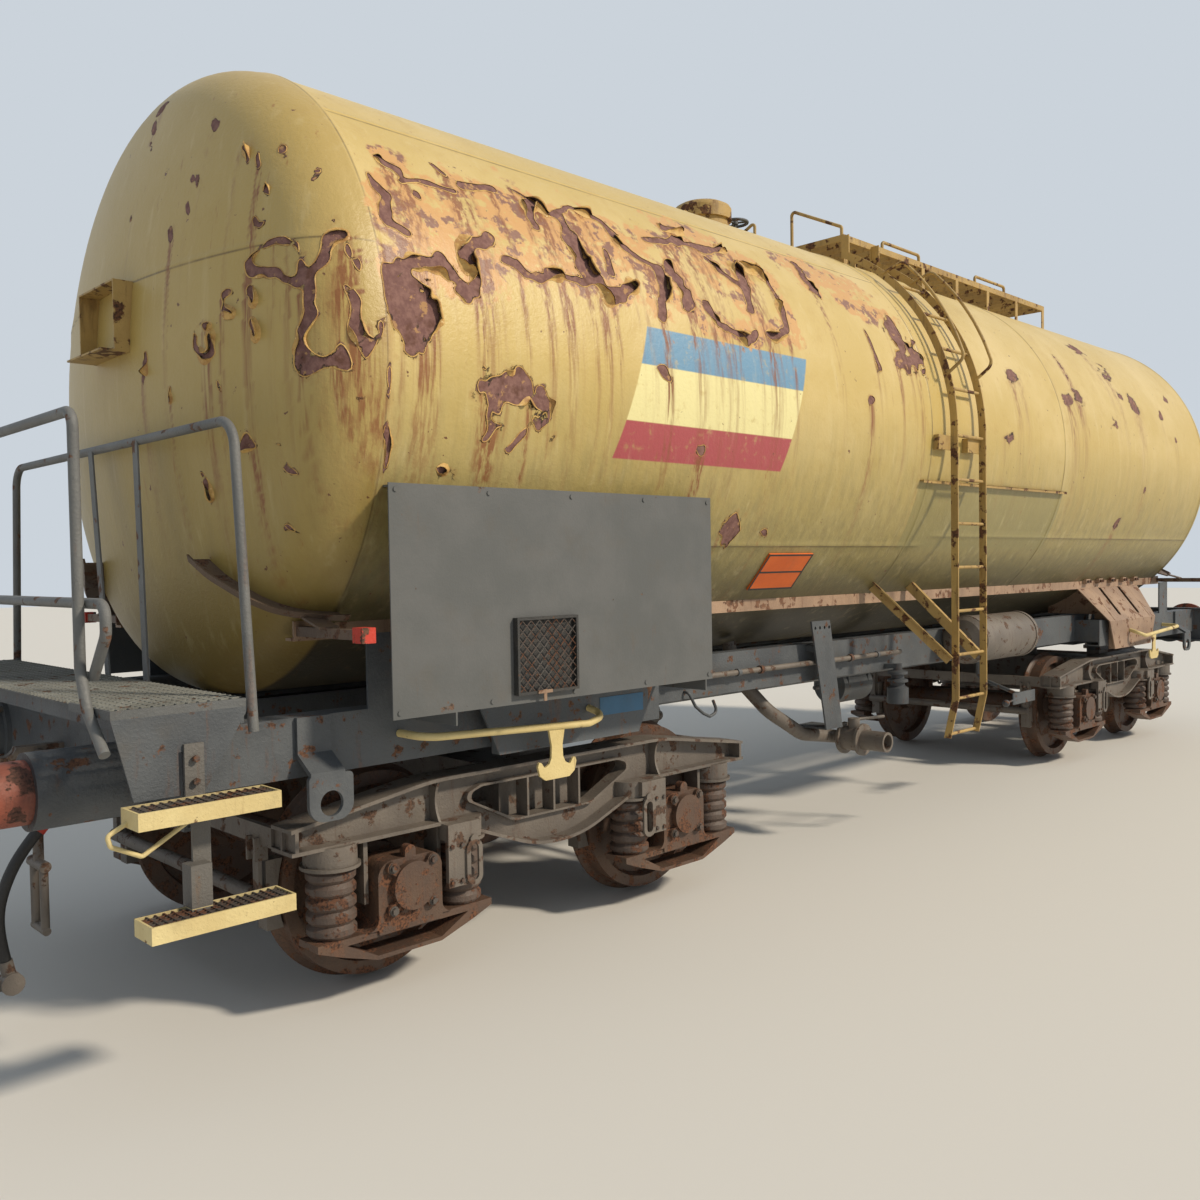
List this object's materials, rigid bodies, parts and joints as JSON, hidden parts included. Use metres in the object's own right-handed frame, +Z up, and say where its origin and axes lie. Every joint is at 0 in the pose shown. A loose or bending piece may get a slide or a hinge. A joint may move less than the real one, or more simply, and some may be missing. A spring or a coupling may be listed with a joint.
{
  "type": "four-axle railway tank car",
  "caption": "Railway tank car: long horizontal tank on an underframe with an end platform, carried by two swivelling bogies.",
  "frame": {"origin": "centre of the bounding box at its bottom, in the plane of the wheel flanges' tips, midway between the bogies", "axes": "+X along the car away from the end platform, +Y to its left, +Z up"},
  "size_m": [12.5, 3.1502, 4.4923],
  "materials": {
    "tank_paint": "weathered",
    "board_grey": "matt",
    "cream_paint": "matt",
    "underframe_grey": "matt",
    "wheel_steel": "rusted",
    "frame_steel": "rusted",
    "buffer_red": "worn",
    "hose_rubber": "matt"
  },
  "bodies": {
    "car": {"air_reservoir": "underframe_grey", "bolsters": "underframe_grey", "brake_cylinder": "frame_steel", "brake_hose": "hose_rubber", "brake_tube": "frame_steel", "buffer_heads": "buffer_red", "buffer_housings": "underframe_grey", "centre_sill": "underframe_grey", "changeover": "underframe_grey", "corner_steps": "cream_paint", "discharge_hangers": "underframe_grey", "discharge_pipes": "underframe_grey", "discharge_valves": "underframe_grey", "distributor_valve": "underframe_grey", "document_boxes": "underframe_grey", "draw_hooks": "frame_steel", "end_cocks": "buffer_red", "end_sills": "underframe_grey", "front_handrail": "underframe_grey", "head_bracket": "tank_paint", "headstocks": "underframe_grey", "hose_coupling": "frame_steel", "ladders": "tank_paint", "lamp_arms": "buffer_red", "lifting_eyes": "underframe_grey", "manhole_neck": "tank_paint", "platform_deck": "underframe_grey", "platform_frame": "underframe_grey", "rear_handrail": "underframe_grey", "rope_hooks": "cream_paint", "saddles": "underframe_grey", "screw_couplings": "frame_steel", "sign_boards": "board_grey", "solebars": "underframe_grey", "tank": "tank_paint", "tank_rails": "tank_paint", "top_fittings": "underframe_grey", "train_pipe": "underframe_grey", "tube_brackets": "underframe_grey", "walkway_rails": "underframe_grey", "walkways": "cream_paint"},
    "lid": {"manhole_lid": "tank_paint"},
    "bogie_near": {"axle_boxes_near": "wheel_steel", "bogie_frame_near": "frame_steel", "brake_gear_near": "frame_steel", "springs_near": "frame_steel"},
    "bogie_far": {"axle_boxes_far": "wheel_steel", "bogie_frame_far": "frame_steel", "brake_gear_far": "frame_steel", "springs_far": "frame_steel"},
    "wheelset_1": {"axle_1": "wheel_steel", "wheels_1": "wheel_steel"},
    "wheelset_2": {"axle_2": "wheel_steel", "wheels_2": "wheel_steel"},
    "wheelset_3": {"axle_3": "wheel_steel", "wheels_3": "wheel_steel"},
    "wheelset_4": {"axle_4": "wheel_steel", "wheels_4": "wheel_steel"}
  },
  "joints": [
    {"name": "lid_hinge", "type": "hinge", "parent": "car", "child": "lid", "pos_m": [-1.48, 0, 4.2783], "axis": [0, -1, 0], "range_deg": [0, 100]},
    {"name": "bogie_near_swivel", "type": "hinge", "parent": "car", "child": "bogie_near", "pos_m": [-3.68, 0, 0.93], "axis": [0, 0, 1], "range_deg": [-4, 4]},
    {"name": "bogie_far_swivel", "type": "hinge", "parent": "car", "child": "bogie_far", "pos_m": [3.68, 0, 0.93], "axis": [0, 0, 1], "range_deg": [-4, 4]},
    {"name": "wheelset_1_spin", "type": "hinge", "parent": "bogie_near", "child": "wheelset_1", "pos_m": [-4.58, 0, 0.488], "axis": [0, 1, 0], "continuous": true},
    {"name": "wheelset_2_spin", "type": "hinge", "parent": "bogie_near", "child": "wheelset_2", "pos_m": [-2.78, 0, 0.488], "axis": [0, 1, 0], "continuous": true},
    {"name": "wheelset_3_spin", "type": "hinge", "parent": "bogie_far", "child": "wheelset_3", "pos_m": [2.78, 0, 0.488], "axis": [0, 1, 0], "continuous": true},
    {"name": "wheelset_4_spin", "type": "hinge", "parent": "bogie_far", "child": "wheelset_4", "pos_m": [4.58, 0, 0.488], "axis": [0, 1, 0], "continuous": true}
  ]
}
